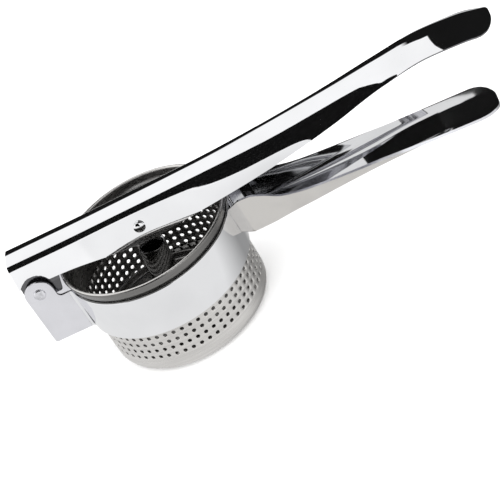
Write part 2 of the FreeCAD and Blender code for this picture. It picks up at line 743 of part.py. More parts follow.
def make_post_weld():
    """The weld bead round the foot of the post."""
    body = new_body("post_weld")
    profile = new_sketch(body, "weld_profile", "XZ_Plane")
    foot = "-own.plunger_drop + dims.disc_sheet"
    add_outline(profile, [
        ("dims.post_radius", foot),
        ("dims.post_radius + dims.bead_leg", foot),
        ("dims.post_radius + 0.6 * dims.bead_leg", foot + " + 0.6 * dims.bead_leg"),
        ("dims.post_radius", foot + " + dims.bead_leg"),
    ])
    revolve(body, profile)
    body.Placement = plunger_place()


def check_document():
    """Stops if any object failed to build."""
    doc.recompute()
    for item in doc.Objects:
        if "Invalid" in item.State or "Error" in item.State:
            raise ValueError("%s did not build: %s" % (item.Name, item.State))


def sub_parts():
    kinds = ("PartDesign::Body", "Part::Feature")
    return [item for item in doc.Objects if item.TypeId in kinds and item.Label != "basket_blank"]


def export_parts():
    """Writes each sub-part's shape, where it stands, to a file of its own."""
    os.makedirs("parts", exist_ok=True)
    for item in sub_parts():
        if item.Shape.isNull() or not item.Shape.isValid():
            raise ValueError(item.Label + " has no valid shape")
        item.Shape.exportStep("parts/%s.step" % item.Label)
        print("%-20s %9.1f mm3" % (item.Label, item.Shape.Volume))


make_basket()
make_ring()
make_lower_handle()
make_upper_handle()
make_hinge_rivet()
make_hinge_washers()
make_hinge_spacer()
make_plunger_pin()
make_pin_spacers()
make_post()
make_tongue()
make_disc()
make_post_weld()
check_document()
export_parts()
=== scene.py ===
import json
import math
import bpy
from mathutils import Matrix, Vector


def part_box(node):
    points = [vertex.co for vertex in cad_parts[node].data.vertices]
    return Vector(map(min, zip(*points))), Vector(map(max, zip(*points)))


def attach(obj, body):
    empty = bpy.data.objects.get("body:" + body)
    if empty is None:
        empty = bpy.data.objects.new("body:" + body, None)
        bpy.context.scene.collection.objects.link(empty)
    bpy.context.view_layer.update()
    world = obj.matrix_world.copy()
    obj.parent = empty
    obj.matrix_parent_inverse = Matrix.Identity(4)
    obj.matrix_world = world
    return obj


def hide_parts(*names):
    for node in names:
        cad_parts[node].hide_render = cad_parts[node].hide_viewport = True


bl_info = {
    "name": "Sheet Steel Hand Press",
    "version": (1, 0, 0),
    "blender": (4, 5, 0),
    "location": "View3D > Sidebar > Press",
    "description": "Builds the finished pieces, metals and studio of a potato and fruit press",
    "category": "Add Mesh",
}

import bmesh
import bpy
from mathutils import Matrix, Vector

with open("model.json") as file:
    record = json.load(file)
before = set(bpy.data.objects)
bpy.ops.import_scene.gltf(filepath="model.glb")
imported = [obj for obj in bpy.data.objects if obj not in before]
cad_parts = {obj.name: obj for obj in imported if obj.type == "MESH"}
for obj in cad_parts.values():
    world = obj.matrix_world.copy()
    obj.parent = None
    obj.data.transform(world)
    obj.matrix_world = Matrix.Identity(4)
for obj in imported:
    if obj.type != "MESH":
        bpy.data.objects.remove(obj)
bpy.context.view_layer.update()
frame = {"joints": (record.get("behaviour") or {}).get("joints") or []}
MM = 0.001


def node_box(node):
    """The lowest and highest corners of a node of the frame, in millimetres."""
    low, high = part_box(node)
    return low / MM, high / MM


BASKET_LOW, BASKET_HIGH = node_box("perforated_basket")
RING_LOW, RING_HIGH = node_box("ring_strap")
UPPER_LOW, UPPER_HIGH = node_box("upper_handle")
LOWER_LOW, LOWER_HIGH = node_box("lower_handle")
RIVET_REACH = node_box("hinge_rivet")[1].y
JOINTS = {joint["name"]: joint for joint in frame["joints"]}
HINGE = Vector(JOINTS["press_hinge"]["pos_m"]) / MM
PIN = Vector(JOINTS["plunger_pivot"]["pos_m"]) / MM

# Sizes that several pieces share, in millimetres.
RING_TOP = 53.4
STRAP = 1.4
SHANK = 2.5
PLAY = 0.05
RIVET_CROWN = 0.9
ARCH = 9.3


# ---------------------------------------------------------------- settings

class PressBasketSettings(bpy.types.PropertyGroup):
    columns: bpy.props.IntProperty(
        name="Columns", description="Columns of perforations round the wall", default=59, min=8)
    rows: bpy.props.IntProperty(
        name="Rows", description="Rows of perforations up the wall", default=6, min=1)
    first_row: bpy.props.FloatProperty(
        name="First row", description="Height of the lowest row, in millimetres", default=12.0)
    row_pitch: bpy.props.FloatProperty(
        name="Row pitch", description="Row to row, in millimetres", default=4.38)
    hole_radius: bpy.props.FloatProperty(
        name="Hole radius", description="Radius of one perforation, in millimetres", default=1.05)
    wall: bpy.props.FloatProperty(
        name="Wall", description="Thickness of the cup's sheet, in millimetres", default=0.8)
    turn: bpy.props.FloatProperty(
        name="Turn", description="Where the columns stand round the cup, in degrees", default=1.5)
    tint: bpy.props.FloatVectorProperty(
        name="Steel", description="Colour of the brushed steel", default=(0.76, 0.745, 0.725),
        subtype="COLOR", min=0, max=1)


class PressHandleSettings(bpy.types.PropertyGroup):
    upper_sheet: bpy.props.FloatProperty(
        name="Upper sheet", description="Thickness of the upper handle, in millimetres", default=1.2)
    lower_sheet: bpy.props.FloatProperty(
        name="Lower sheet", description="Thickness of the lower handle, in millimetres", default=1.4)
    tint: bpy.props.FloatVectorProperty(
        name="Polished steel", description="Colour of the mirror polish", default=(0.93, 0.935, 0.95),
        subtype="COLOR", min=0, max=1)
    satin: bpy.props.FloatVectorProperty(
        name="Satin steel", description="Colour of the lugs' satin steel", default=(0.89, 0.89, 0.93),
        subtype="COLOR", min=0, max=1)
    warm: bpy.props.FloatVectorProperty(
        name="Warm satin steel", description="Colour of the lower handle's outside",
        default=(0.73, 0.71, 0.685), subtype="COLOR", min=0, max=1)


class PressStageSettings(bpy.types.PropertyGroup):
    azimuth: bpy.props.FloatProperty(
        name="Azimuth", description="Camera's turn about the basket, in degrees", default=12.0)
    elevation: bpy.props.FloatProperty(
        name="Elevation", description="Camera's height angle, in degrees", default=35.13)
    roll: bpy.props.FloatProperty(
        name="Roll", description="Camera's turn about its own axis, in degrees", default=-31.89)
    distance: bpy.props.FloatProperty(
        name="Distance", description="Camera to the point it looks at, in millimetres", default=953.2)
    lens: bpy.props.FloatProperty(
        name="Lens", description="Focal length, in millimetres", default=136.33)
    floor: bpy.props.FloatVectorProperty(
        name="Floor", description="Colour of the floor", default=(0.96, 0.96, 0.96),
        subtype="COLOR", min=0, max=1)


# ---------------------------------------------------------------- shader maths

class Value:
    """A socket that carries a number, with the arithmetic that adds its Math nodes."""

    def __init__(self, shade, socket):
        self.shade = shade
        self.socket = socket

    def math(self, operation, first, second=None):
        return self.shade.math(operation, first, second)

    def __add__(self, other):
        return self.math("ADD", self, other)

    __radd__ = __add__

    def __sub__(self, other):
        return self.math("SUBTRACT", self, other)

    def __rsub__(self, other):
        return self.math("SUBTRACT", other, self)

    def __mul__(self, other):
        return self.math("MULTIPLY", self, other)

    __rmul__ = __mul__


class Shade:
    """Builds one material's nodes."""

    def __init__(self, tree):
        self.tree = tree

    def node(self, kind, settings=None, inputs=None):
        """A node of that type, its settings made first and then its sockets filled or linked."""
        made = self.tree.nodes.new(kind)
        for name, setting in (settings or {}).items():
            setattr(made, name, setting)
        for name, content in (inputs or {}).items():
            self.fill(made.inputs[name], content)
        return made

    def fill(self, socket, content):
        if isinstance(content, Value):
            self.tree.links.new(content.socket, socket)
        elif isinstance(content, bpy.types.NodeSocket):
            self.tree.links.new(content, socket)
        else:
            socket.default_value = content

    def math(self, operation, first, second=None):
        made = self.node("ShaderNodeMath", {"operation": operation}, {0: first})
        if second is not None:
            self.fill(made.inputs[1], second)
        return Value(self, made.outputs[0])

    def place(self):
        """The point on the piece, in metres, as its X, Y and Z."""
        source = self.node("ShaderNodeTexCoord")
        split = self.node("ShaderNodeSeparateXYZ", inputs={0: source.outputs["Object"]})
        return [Value(self, split.outputs[axis]) for axis in range(3)]

    def vector(self, x, y, z):
        return self.node("ShaderNodeCombineXYZ", inputs={0: x, 1: y, 2: z}).outputs[0]

    def noise(self, vector, scale, detail=2.0, roughness=0.5):
        made = self.node("ShaderNodeTexNoise", inputs={
            "Vector": vector, "Scale": scale, "Detail": detail, "Roughness": roughness})
        return Value(self, made.outputs["Fac"])

    def spread(self, value, low, high, out_low=0.0, out_high=1.0):
        """Maps a range of a value to another, held at its ends."""
        made = self.node("ShaderNodeMapRange", inputs={
            "Value": value, "From Min": low, "From Max": high, "To Min": out_low, "To Max": out_high})
        return Value(self, made.outputs["Result"])

    def blend(self, factor, first, second):
        made = self.node("ShaderNodeMix", {"data_type": "RGBA"}, {"Factor": factor})
        self.fill(made.inputs[6], first)
        self.fill(made.inputs[7], second)
        return made.outputs[2]

    def bump(self, height, strength, distance):
        return self.node("ShaderNodeBump", inputs={
            "Height": height, "Strength": strength, "Distance": distance}).outputs["Normal"]


def metal(name, colour, roughness, normal):
    """A metal whose colour, roughness and bump each come from a function of its Shade."""
    material = bpy.data.materials.new(name)
    material.use_nodes = True
    tree = material.node_tree
    tree.nodes.clear()
    shade = Shade(tree)
    shader = shade.node("ShaderNodeBsdfPrincipled", inputs={"Metallic": 1.0})
    shade.fill(shader.inputs["Base Color"], colour(shade))
    shade.fill(shader.inputs["Roughness"], roughness(shade))
    shade.fill(shader.inputs["Normal"], normal(shade))
    shade.node("ShaderNodeOutputMaterial", inputs={"Surface": shader.outputs[0]})
    return material


def rgba(colour, level=1.0):
    return (colour[0] * level, colour[1] * level, colour[2] * level, 1.0)


def lengthwise(shade, across):
    """Fine streaks that run along X, as a polishing wheel leaves them."""
    x, y, z = shade.place()
    return shade.noise(shade.vector(x * 12.0, y * across, z * across), 1.0, 3.0, 0.6)


def turned(shade, fineness, slowness=1.5):
    """Fine streaks that run round the Z axis, as turning and drawing leave them."""
    x, y, z = shade.place()
    angle = shade.math("ARCTAN2", y, x)
    radius = shade.math("SQRT", x * x + y * y)
    return shade.noise(shade.vector(angle * slowness, radius * fineness, z * fineness), 1.0, 3.0, 0.65)


def cloud(shade, scale, detail=3.0):
    """Soft patches all over a piece, by their size."""
    return shade.noise(shade.node("ShaderNodeTexCoord").outputs["Object"], scale, detail)


def make_polished(name, tint, gloss):
    """Mirror polish with faint wheel marks, a slow ripple and hazier patches from handling."""
    def colour(shade):
        return shade.blend(shade.spread(cloud(shade, 38.0), 0.45, 0.75), rgba(tint), rgba(tint, 0.94))

    def roughness(shade):
        haze = shade.spread(cloud(shade, 55.0, 4.0), 0.5, 0.85, gloss, gloss + 0.03)
        return haze + lengthwise(shade, 1400.0) * 0.012

    def normal(shade):
        return shade.bump(lengthwise(shade, 1400.0) * 0.03 + cloud(shade, 26.0, 1.0), 0.05, 0.0005)

    return metal(name, colour, roughness, normal)


def make_satin(name, tint, gloss):
    """A softer polish, with clouded reflections and short grinding marks along the piece."""
    def colour(shade):
        return shade.blend(shade.spread(cloud(shade, 45.0), 0.4, 0.7), rgba(tint), rgba(tint, 0.9))

    def roughness(shade):
        haze = shade.spread(cloud(shade, 70.0, 4.0), 0.35, 0.8, gloss, gloss + 0.09)
        return haze + lengthwise(shade, 900.0) * 0.05

    def normal(shade):
        return shade.bump(lengthwise(shade, 900.0), 0.12, 0.0002)

    return metal(name, colour, roughness, normal)


def make_brushed(name, tint):
    """Brushed steel, with streaks round the cup's axis."""
    def colour(shade):
        streak = shade.spread(turned(shade, 900.0), 0.3, 0.7)
        return shade.blend(streak, rgba(tint, 0.86), rgba(tint, 1.08))

    def roughness(shade):
        return shade.spread(turned(shade, 500.0, 4.0), 0.3, 0.7, 0.22, 0.36)

    def normal(shade):
        return shade.bump(turned(shade, 1600.0), 0.25, 0.0002)

    return metal(name, colour, roughness, normal)


def make_formed(name, tint):
    """The dull steel of rivets and washers, with the small marks that forming leaves."""
    def colour(shade):
        mark = shade.spread(cloud(shade, 420.0), 0.4, 0.7)
        return shade.blend(mark, rgba(tint), rgba(tint, 0.72))

    def roughness(shade):
        return shade.spread(cloud(shade, 300.0), 0.3, 0.8, 0.16, 0.34)

    def normal(shade):
        return shade.bump(cloud(shade, 700.0), 0.2, 0.0002)

    return metal(name, colour, roughness, normal)


MATERIALS = {}


def shaded(colour, level):
    return tuple(part * level for part in colour)


def finish_of(name):
    """A metal by name, made the first time that it is asked for."""
    if name not in MATERIALS:
        handles = bpy.context.scene.press_handles
        cup = bpy.context.scene.press_basket
        makers = {
            "mirror": lambda: make_polished("mirror_steel", handles.tint, 0.015),
            # Painted shade: the post's and tongue's polish is darkened to 0.34 of the cup's tint, where they
            # stand in shadow in the cup and under the handle.
            "painted_shade_polish": lambda: make_polished("painted_shade_polish_steel", shaded(cup.tint, 0.34), 0.10),
            # Painted shade: the trough's polish is darkened to 0.74 of the handle's tint for the shadowed
            # inside of the channel.
            "trough": lambda: make_polished("trough_painted_shade_steel", shaded(handles.tint, 0.74), 0.045),
            "satin": lambda: make_satin("satin_steel", handles.satin, 0.14),
            "warm": lambda: make_satin("warm_satin_steel", handles.warm, 0.16),
            # Painted shade: the upper handle's downward-facing rim is darkened to 0.30 of the satin tint.
            "edge": lambda: make_satin("edge_painted_shade", shaded(handles.satin, 0.30), 0.25),
            "cheek": lambda: make_satin("shaded_cheek", shaded(handles.satin, 0.16), 0.12),
            "brushed": lambda: make_brushed("brushed_steel", cup.tint),
            # Painted shade: the cup's inner skins, throat and the disc in it are darkened to 0.42 of the
            # cup's tint.
            "inside": lambda: make_brushed("brushed_inside_painted_shade", shaded(cup.tint, 0.42)),
            # Painted shade: the shoulder under the lip is darkened to 0.30 of the cup's tint.
            "shoulder": lambda: make_brushed("shoulder_painted_shade", shaded(cup.tint, 0.30)),
            "rivet": lambda: make_formed("rivet_steel", handles.satin),
        }
        MATERIALS[name] = makers[name]()
    return MATERIALS[name]


# ---------------------------------------------------------------- mesh helpers

def mesh_object(name, points, faces, *finishes):
    """An object from points in millimetres, with its metals."""
    mesh = bpy.data.meshes.new(name)
    mesh.from_pydata([tuple(c * MM for c in point) for point in points], [], faces)
    mesh.validate()
    mesh.polygons.foreach_set("use_smooth", [True] * len(mesh.polygons))
    for finish in finishes:
        mesh.materials.append(finish_of(finish))
    made = bpy.data.objects.new(name, mesh)
    bpy.context.scene.collection.objects.link(made)
    return made


def place_piece(piece, body, node):
    """Gives a piece the body it rides on, and hides the node that it stands for."""
    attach(piece, body)
    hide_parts(node)


def apply_modifiers(piece):
    """Makes the piece's modifiers part of its mesh."""
    graph = bpy.context.evaluated_depsgraph_get()
    mesh = bpy.data.meshes.new_from_object(piece.evaluated_get(graph))
    piece.modifiers.clear()
    piece.data = mesh


def soften_edges(piece, width, angle=40.0):
    """Rounds the piece's sharp edges by a width in millimetres, and shades it smoothly."""
    bevel = piece.modifiers.new("edges", "BEVEL")
    bevel.width = width * MM
    bevel.segments = 2
    bevel.limit_method = "ANGLE"
    bevel.angle_limit = math.radians(angle)
    bevel.harden_normals = True
    apply_modifiers(piece)


def join(pieces, name):
    """Joins several pieces into one."""
    with bpy.context.temp_override(active_object=pieces[0], selected_editable_objects=pieces):
        bpy.ops.object.join()
    pieces[0].name = name
    return pieces[0]


def arc(x, y, radius, angles):
    """Points round a centre at angles in degrees."""
    return [(x + radius * math.cos(math.radians(a)), y + radius * math.sin(math.radians(a))) for a in angles]


def round_corners(corners, closed=True, steps=6):
    """The outline through (x, y, radius) corners, each rounded by its own radius."""
    outline = []
    count = len(corners)
    for index, (x, y, radius) in enumerate(corners):
        corner = Vector((x, y))
        if radius == 0 or (not closed and index in (0, count - 1)):
            outline.append((x, y))
            continue
        back = (Vector(corners[index - 1][:2]) - corner).normalized()
        forth = (Vector(corners[(index + 1) % count][:2]) - corner).normalized()
        half = back.angle(forth) / 2
        middle = (back + forth).normalized()
        centre = corner + middle * (radius / math.sin(half))
        start = corner + back * (radius / math.tan(half)) - centre
        end = corner + forth * (radius / math.tan(half)) - centre
        turn = start.angle_signed(end)
        for step in range(steps + 1):
            part = start.copy()
            part.rotate(Matrix.Rotation(-turn * step / steps, 2))
            outline.append(tuple(centre + part))
    return outline


def lathe(name, profile, finish, segments=96, closed=True):
    """Turns a profile of (radius, height) points about Z. A closed profile makes a ring."""
    points = []
    faces = []
    count = len(profile)
    for step in range(segments):
        angle = 2 * math.pi * step / segments
        for radius, height in profile:
            points.append((radius * math.cos(angle), radius * math.sin(angle), height))
    pairs = count if closed else count - 1
    for step in range(segments):
        after = (step + 1) % segments
        for index in range(pairs):
            next_index = (index + 1) % count
            faces.append((step * count + index, after * count + index,
                          after * count + next_index, step * count + next_index))
    return weld_points(mesh_object(name, points, faces, finish), 0.004)


def weld_points(piece, distance):
    """Merges points closer than a distance in millimetres."""
    weld = piece.modifiers.new("weld", "WELD")
    weld.merge_threshold = distance * MM
    apply_modifiers(piece)
    return piece


def cut_plate(name, outline, holes, low, high, finish, edge=0.12, upright=True):
    """A plate from a flat outline with round holes: upright ones stand across Y, others lie across Z."""
    curve = bpy.data.curves.new(name, "CURVE")
    curve.dimensions = "2D"
    curve.fill_mode = "BOTH"
    curve.extrude = ((high - low) / 2 - edge) * MM
    curve.bevel_depth = edge * MM
    curve.bevel_resolution = 1
    curve.offset = -edge * MM
    loops = [outline]
    for x, y, radius in holes:
        loops.append(arc(x, y, radius, range(0, 360, 18)))
    for loop in loops:
        spline = curve.splines.new("POLY")
        spline.points.add(len(loop) - 1)
        for point, (x, y) in zip(spline.points, loop):
            point.co = (x * MM, y * MM, 0, 1)
        spline.use_cyclic_u = True
    source = bpy.data.objects.new(name + "_outline", curve)
    bpy.context.scene.collection.objects.link(source)
    graph = bpy.context.evaluated_depsgraph_get()
    mesh = bpy.data.meshes.new_from_object(source.evaluated_get(graph))
    mesh.materials.append(finish_of(finish))
    bpy.data.objects.remove(source)
    made = bpy.data.objects.new(name, mesh)
    bpy.context.scene.collection.objects.link(made)
    middle = (low + high) / 2 * MM
    if upright:
        mesh.transform(Matrix.Translation((0, middle, 0)) @ Matrix.Rotation(math.pi / 2, 4, "X"))
    else:
        mesh.transform(Matrix.Translation((0, 0, middle)))
    return weld_points(made, 0.002)


class Track:
    """A smooth line through (position, value) pairs that never overshoots between them."""

    def __init__(self, pairs):
        self.places = [pair[0] for pair in pairs]
        self.levels = [pair[1] for pair in pairs]
        count = len(pairs)
        rises = [(self.levels[i + 1] - self.levels[i]) / (self.places[i + 1] - self.places[i])
                 for i in range(count - 1)]
        self.slopes = [rises[0]]
        for i in range(1, count - 1):
            same_way = rises[i - 1] * rises[i] > 0
            steep = 2 * rises[i - 1] * rises[i] / (rises[i - 1] + rises[i]) if same_way else 0.0
            self.slopes.append(steep)
        self.slopes.append(rises[-1])

    def at(self, place):
        last = len(self.places) - 2
        index = 0
        while index < last and place > self.places[index + 1]:
            index += 1
        width = self.places[index + 1] - self.places[index]
        t = min(max((place - self.places[index]) / width, 0.0), 1.0)
        low, high = self.levels[index], self.levels[index + 1]
        start, end = self.slopes[index] * width, self.slopes[index + 1] * width
        return (low * (1 + 2 * t) + start * t) * (1 - t) ** 2 + (high * (3 - 2 * t) + end * (t - 1)) * t ** 2


def half_section(web_half, web_height, edge_half, edge_height, bend, crown=0.0, bulge=0.0):
    """The right half of a channel's outer skin, from its middle to its edge, as fine (y, z) points.

    The crown raises the middle of the web, and the bulge swells the side wall.
    """
    corners = [(0.0, web_height, 0), (web_half, web_height, bend), (edge_half, edge_height, 0)]
    rough = round_corners(corners, closed=False, steps=24)
    fine = []
    for (y0, z0), (y1, z1) in zip(rough, rough[1:]):
        parts = max(1, int(math.hypot(y1 - y0, z1 - z0) / 0.25))
        fine += [(y0 + (y1 - y0) * k / parts, z0 + (z1 - z0) * k / parts) for k in range(parts)]
    fine.append(rough[-1])
    wall = Vector((edge_half - web_half, edge_height - web_height))
    swell = Vector((-wall.y, wall.x)).normalized() * (bulge if wall.y < 0 else -bulge)
    shaped = []
    for y, z in fine:
        down = min(max((Vector((y - web_half, z - web_height)).dot(wall)) / wall.length_squared, 0.0), 1.0)
        out = swell * math.sin(math.pi * down)
        shaped.append((y + out.x, z + out.y + crown * web_fall(y / edge_half)))
    return shaped


def web_fall(share):
    """The crown's height, 1 in the middle: flat at first, then falling away and ending level."""
    start, end = 0.10, 1.0
    t = min(max((share - start) / (end - start), 0.0), 1.0)
    return (1 - t) ** 2 * (1 + 2 * t)


def trimmed(points, half_limit, edge_limit, downward):
    """The part of a half section within the plan outline and above, or below, a cut edge."""
    kept = [points[0]]
    for y, z in points[1:]:
        if y > half_limit or (downward and z < edge_limit) or (not downward and z > edge_limit):
            break
        kept.append((y, z))
    return kept


def resample(points, count):
    """Evenly spaced points along a polyline."""
    lengths = [0.0]
    for (y0, z0), (y1, z1) in zip(points, points[1:]):
        lengths.append(lengths[-1] + math.hypot(y1 - y0, z1 - z0))
    total = lengths[-1]
    spaced = []
    index = 0
    for step in range(count):
        goal = total * step / (count - 1)
        while index < len(points) - 2 and lengths[index + 1] < goal:
            index += 1
        span = lengths[index + 1] - lengths[index]
        part = (goal - lengths[index]) / span if span else 0.0
        y = points[index][0] + (points[index + 1][0] - points[index][0]) * part
        z = points[index][1] + (points[index + 1][1] - points[index][1]) * part
        spaced.append((y, z))
    return spaced


def sheet_shell(name, rows, thickness, inward, *finishes):
    """A bent sheet from rows of half sections, with the finishes of its outside, inside and edge."""
    points = []
    width = 2 * len(rows[0][1]) - 1
    for place, half in rows:
        across = [(-y, z) for y, z in reversed(half[1:])] + list(half)
        for y, z in across:
            x = place(y) if callable(place) else place
            points.append((x, y, z))
    faces = []
    for row in range(len(rows) - 1):
        for step in range(width - 1):
            a = row * width + step
            faces.append((a, a + 1, a + width + 1, a + width))
    if inward:
        faces = [tuple(reversed(face)) for face in faces]
    shell = mesh_object(name, points, faces, *finishes)
    solid = shell.modifiers.new("sheet", "SOLIDIFY")
    solid.material_offset = 1
    solid.material_offset_rim = 2
    solid.thickness = thickness * MM
    solid.offset = -1.0
    solid.use_even_offset = True
    solid.use_rim = True
    apply_modifiers(shell)
    soften_edges(shell, 0.22, 55.0)
    return shell


def fold_inward(plate, height, lean):
    """Leans the part of an upright plate above a height towards the middle plane."""
    work = bmesh.new()
    work.from_mesh(plate.data)
    whole = work.verts[:] + work.edges[:] + work.faces[:]
    bmesh.ops.bisect_plane(work, geom=whole, plane_co=(0, 0, height * MM), plane_no=(0, 0, 1))
    for point in work.verts:
        over = point.co.z - height * MM
        if over > 0:
            point.co.y -= math.copysign(over * lean, point.co.y)
    work.to_mesh(plate.data)
    work.free()
    return plate


def spaced_places(start, end, step):
    count = max(2, int(abs(end - start) / step))
    return [start + (end - start) * index / count for index in range(count)]


# ---------------------------------------------------------------- basket

def cell_loop(count, half_wide, half_tall):
    """Points round a rectangle, evenly spaced on each side, from its lower left corner."""
    side = count // 4
    loop = [(-half_wide + 2 * half_wide * k / side, -half_tall) for k in range(side)]
    loop += [(half_wide, -half_tall + 2 * half_tall * k / side) for k in range(side)]
    loop += [(half_wide - 2 * half_wide * k / side, half_tall) for k in range(side)]
    loop += [(-half_wide, half_tall - 2 * half_tall * k / side) for k in range(side)]
    return loop


def perforated_band(settings, outer):
    """The wall's perforated band: one cell for each hole, with both skins and the hole's wall."""
    around = 16
    inner = outer - settings.wall
    hole = settings.hole_radius
    pitch = 2 * math.pi / settings.columns
    half_wide = pitch / 2
    half_tall = settings.row_pitch / 2
    square = cell_loop(around, half_wide, half_tall)
    circle = []
    for angle, height in square:
        turn = math.atan2(height / half_tall, angle / half_wide)
        circle.append((math.cos(turn), math.sin(turn)))
    burr = 0.14
    rings = [(outer, None), (outer, hole + burr), (outer - burr, hole), (inner + burr, hole),
             (inner, hole + burr), (inner, None)]
    points = []
    faces = []
    for column in range(settings.columns):
        middle = math.radians(settings.turn - 90) + pitch * column
        for row in range(settings.rows):
            height = settings.first_row + row * settings.row_pitch
            base = len(points)
            for radius, spread in rings:
                for (angle, rise), (across, up) in zip(square, circle):
                    if spread is not None:
                        angle = across * spread / outer
                        rise = up * spread
                    points.append((radius * math.cos(middle + angle), radius * math.sin(middle + angle),
                                   height + rise))
            for ring in range(len(rings) - 1):
                for step in range(around):
                    after = (step + 1) % around
                    a = base + ring * around
                    faces.append((a + step, a + after, a + around + after, a + around + step))
    # The inner skin takes the inside finish, darkened as painted shade.
    band = mesh_object("cup_band", points, faces, "brushed", "inside")
    skin = len(rings) - 2
    for face in band.data.polygons:
        in_cell = face.index % ((len(rings) - 1) * around)
        face.material_index = 1 if in_cell // around >= skin else 0
    return band


class PRESS_OT_basket(bpy.types.Operator):
    """Makes the drawn cup with its perforated wall and floor, flared shoulder and rolled lip"""
    bl_idname = "press.basket"
    bl_label = "Basket"

    def execute(self, context):
        settings = context.scene.press_basket
        lip = BASKET_HIGH.x
        top = BASKET_HIGH.z
        bead = 1.0
        outer = lip - 2.7
        wall = settings.wall
        corner = 6.0
        low_band = settings.first_row - settings.row_pitch / 2
        high_band = low_band + settings.rows * settings.row_pitch
        segments = settings.columns * 4
        turn = math.radians(settings.turn - 90) + math.pi / settings.columns

        def at_turn(piece):
            piece.data.transform(Matrix.Rotation(turn, 4, "Z"))
            return piece

        foot_outer = round_corners([(outer - corner, 0, 0), (outer, 0, corner), (outer, low_band, 0)],
                                   closed=False, steps=10)
        foot_inner = round_corners([(outer - corner, wall, 0), (outer - wall, wall, corner - wall),
                                    (outer - wall, low_band, 0)], closed=False, steps=10)
        foot_outer_skin = at_turn(lathe("cup_foot_outer", foot_outer, "brushed", segments, closed=False))
        # The inner foot skin takes the inside finish, darkened as painted shade.
        foot_inner_skin = at_turn(lathe("cup_foot_inner", foot_inner, "inside", segments, closed=False))

        flare = outer + 0.6 * (lip - outer)
        centre = lip - bead
        rise = round_corners([(outer, high_band, 0), (outer, RING_TOP - 0.4, 3.0),
                              (flare, RING_TOP + 2.0, 5.0), (centre + 0.85, top - 1.6 * bead, 0)],
                             closed=False, steps=8)
        roll = arc(centre, top - bead, bead, range(-20, 221, 15))
        fall = round_corners([(centre - 0.75, top - 1.9 * bead, 0), (flare - wall, RING_TOP + 2.3, 5.0),
                              (outer - wall, RING_TOP + 0.1, 3.0), (outer - wall, high_band, 0)],
                             closed=False, steps=8)
        # The flank under the lip takes the shoulder finish, darkened as painted shade.
        flank = at_turn(lathe("cup_shoulder", rise + roll[:5], "shoulder", segments, closed=False))
        lip_roll = at_turn(lathe("cup_lip", roll[4:] + fall[:1], "brushed", segments, closed=False))
        # The throat takes the inside finish, darkened as painted shade.
        throat = at_turn(lathe("cup_throat", fall, "inside", segments, closed=False))

        holes = []
        pitch = 4.4
        for ring in range(1, 8):
            places = arc(0, 0, ring * pitch, [60.0 * index / ring for index in range(6 * ring)])
            holes += [(x, y, settings.hole_radius) for x, y in places]
        edge = arc(0, 0, outer - corner, [math.degrees(turn) + 360.0 * i / segments for i in range(segments)])
        floor = cut_plate("cup_floor", edge, holes, 0.0, wall, "brushed", edge=0.0, upright=False)
        band = perforated_band(settings, outer)
        cup = join([band, foot_outer_skin, foot_inner_skin, flank, lip_roll, throat, floor], "drilled_cup")
        weld_points(cup, 0.01)
        place_piece(cup, "basket", "perforated_basket")
        return {"FINISHED"}


# ---------------------------------------------------------------- ring

class PRESS_OT_ring(bpy.types.Operator):
    """Makes the strap ring with its folds and the two rounded lugs"""
    bl_idname = "press.ring"
    bl_label = "Strap ring"

    def execute(self, context):
        radius = RING_HIGH.x
        low = RING_LOW.z
        fold = 2.5
        plane = RIVET_REACH - RIVET_CROWN
        fold_x = -math.sqrt((radius + fold) ** 2 - (plane + fold) ** 2)
        touch = math.atan2(plane + fold, fold_x)
        path = []
        steps = 8
        start = math.radians(-90)
        end = touch - math.pi
        for step in range(steps + 1):
            angle = start + (end - start) * step / steps
            path.append((fold_x + fold * math.cos(angle), plane + fold + fold * math.sin(angle),
                         -math.cos(angle), -math.sin(angle)))
        around = 240
        for step in range(1, around):
            angle = touch - (2 * touch) * step / around
            outward = (math.cos(angle), math.sin(angle))
            path.append((radius * outward[0], radius * outward[1], *outward))
        path += [(x, -y, nx, -ny) for x, y, nx, ny in reversed(path[:steps + 1])]
        section = round_corners([(0, low, 0.3), (0, RING_TOP, 0.3), (-STRAP, RING_TOP, 0.3),
                                 (-STRAP, low, 0.3)], steps=3)
        points = []
        faces = []
        count = len(section)
        for x, y, nx, ny in path:
            points += [(x + nx * offset, y + ny * offset, height) for offset, height in section]
        for row in range(len(path) - 1):
            for step in range(count):
                after = (step + 1) % count
                a = row * count
                faces.append((a + step, a + count + step, a + count + after, a + after))
        faces.append(tuple(range(count)))
        faces.append(tuple(reversed(range(len(points) - count, len(points)))))
        band = mesh_object("ring_band", points, faces, "mirror")

        ear = RING_HIGH.z - HINGE.z
        back = RING_LOW.x
        front = HINGE.x + ear
        outline = round_corners([(fold_x, low, 0), (fold_x, RING_TOP, 0), (front, RING_TOP, 2.2),
                                 (front, HINGE.z, 0)], closed=False, steps=6)
        outline += arc(HINGE.x, HINGE.z, ear, range(6, 180, 6))
        outline += round_corners([(back, HINGE.z, 0), (back, low, 1.2), (fold_x, low, 0)], closed=False)[:-1]
        lugs = []
        for side, label in ((-1, "near_lug"), (1, "far_lug")):
            ends = sorted((side * plane, side * (plane - STRAP)))
            lugs.append(cut_plate(label, outline, [(HINGE.x, HINGE.z, SHANK)], ends[0], ends[1], "satin",
                                  edge=0.14))
        strap_ring = join([band] + lugs, "bent_strap")
        place_piece(strap_ring, "frame", "ring_strap")
        return {"FINISHED"}


# ---------------------------------------------------------------- handles

